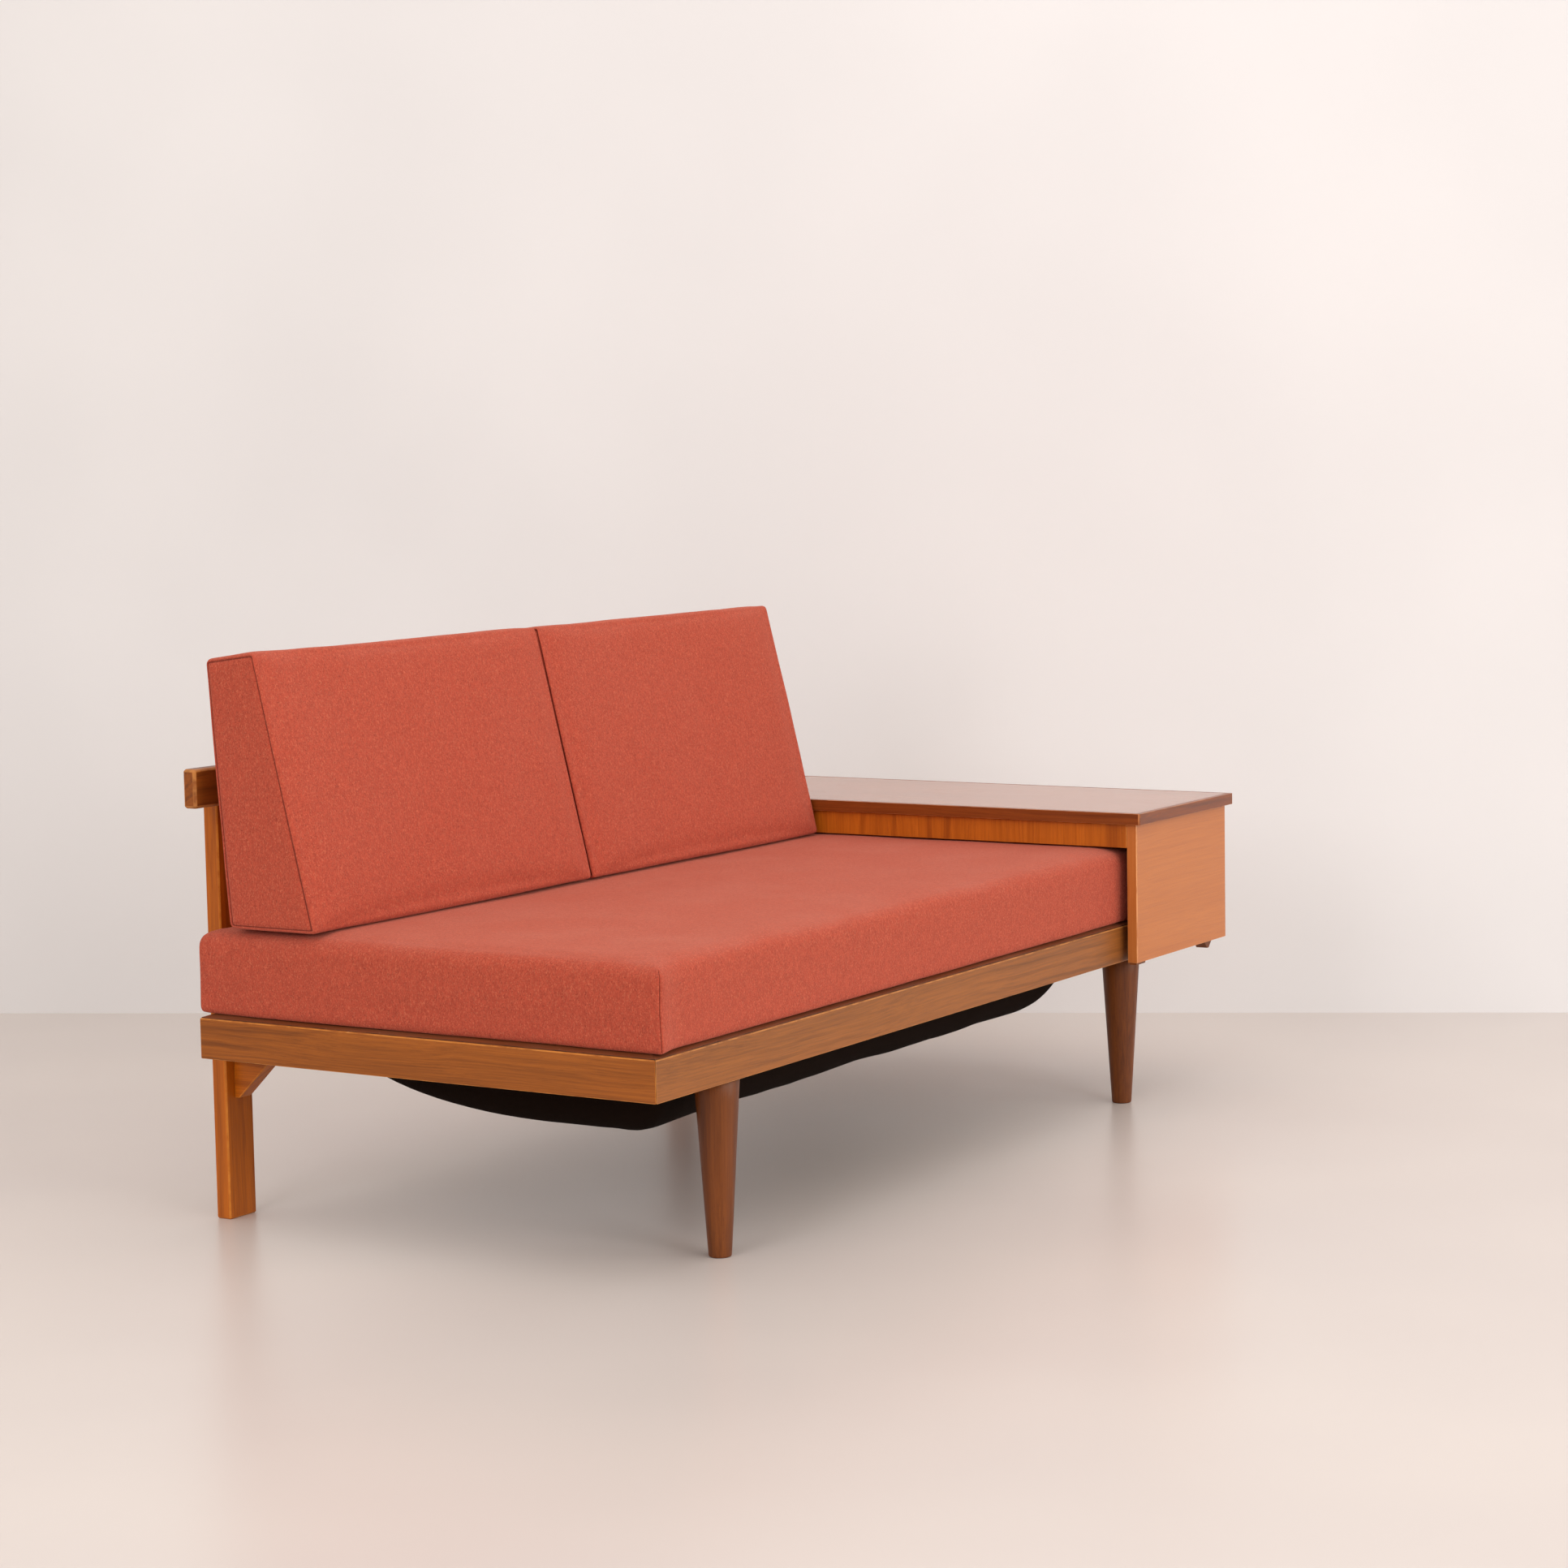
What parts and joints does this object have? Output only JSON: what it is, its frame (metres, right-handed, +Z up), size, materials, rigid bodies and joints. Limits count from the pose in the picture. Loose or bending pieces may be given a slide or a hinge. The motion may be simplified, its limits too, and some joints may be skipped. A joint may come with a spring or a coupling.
{
  "type": "daybed",
  "caption": "Teak daybed with a wool mattress, wedge back cushions that lift off, a bedding bag under the slats and an end table that slides out.",
  "frame": {"origin": "centre of the footprint of the whole object, on the floor", "axes": "+X along the front from the head end to the end table, +Y from front to back, +Z up"},
  "size_m": [1.655, 0.832, 0.7968],
  "materials": {
    "frame_teak": "oiled, satin",
    "post_teak": "oiled, satin",
    "leg_teak": "oiled, satin",
    "table_veneer": "veneer, satin lacquer",
    "inner_beech": "planed, unfinished",
    "steel_fastener": "zinc plated",
    "wool_cover": "melange wool, matt",
    "bag_cloth": "matt black cotton"
  },
  "bodies": {
    "bed_frame": {"front_rail": "frame_teak", "rear_rail": "frame_teak", "left_end_rail": "frame_teak", "right_end_rail": "frame_teak", "back_rail": "frame_teak", "rear_post_left": "post_teak", "rear_post_right": "post_teak", "post_bracket_left": "post_teak", "post_bracket_right": "post_teak", "post_spacer_left": "post_teak", "post_spacer_right": "post_teak", "front_leg_left": "leg_teak", "front_leg_right": "leg_teak", "corner_block_front_left": "inner_beech", "corner_block_front_right": "inner_beech", "corner_block_rear_right": "inner_beech", "corner_block_rear_left": "inner_beech", "front_ledge": "inner_beech", "rear_ledge": "inner_beech", "slat_01": "inner_beech", "slat_02": "inner_beech", "slat_03": "inner_beech", "slat_04": "inner_beech", "slat_05": "inner_beech", "slat_06": "inner_beech", "slat_07": "inner_beech", "slat_08": "inner_beech", "slat_09": "inner_beech", "slat_10": "inner_beech", "slat_11": "inner_beech", "slat_12": "inner_beech", "leg_block_left": "inner_beech", "leg_block_right": "inner_beech", "bag_batten_left": "inner_beech", "bag_batten_right": "inner_beech", "bag_batten_front": "inner_beech", "bag_batten_rear": "inner_beech", "runner_bridge": "inner_beech", "leg_stud_left": "steel_fastener", "leg_stud_right": "steel_fastener", "post_bolt_left_lower": "steel_fastener", "post_bolt_left_upper": "steel_fastener", "post_bolt_right_lower": "steel_fastener", "post_bolt_right_upper": "steel_fastener", "mattress": "wool_cover", "bedding_bag": "bag_cloth"},
    "end_table": {"table_top": "table_veneer", "table_front_panel": "table_veneer", "table_rear_panel": "table_veneer", "table_outer_panel": "table_veneer", "table_apron": "table_veneer", "table_block_front": "leg_teak", "table_block_rear": "leg_teak", "table_cleat_front": "inner_beech", "table_cleat_rear": "inner_beech", "table_runner_front": "inner_beech", "table_runner_back": "inner_beech"},
    "left_cushion": {"back_cushion_left": "wool_cover"},
    "right_cushion": {"back_cushion_right": "wool_cover"}
  },
  "joints": [
    {"name": "table_slide", "type": "slide", "parent": "bed_frame", "child": "end_table", "axis": [1, 0, 0], "range_m": [0, 0.3]},
    {"name": "left_cushion_lift", "type": "slide", "parent": "bed_frame", "child": "left_cushion", "axis": [0, 0, 1], "range_m": [0, 0.25]},
    {"name": "right_cushion_lift", "type": "slide", "parent": "bed_frame", "child": "right_cushion", "axis": [0, 0, 1], "range_m": [0, 0.25]}
  ]
}
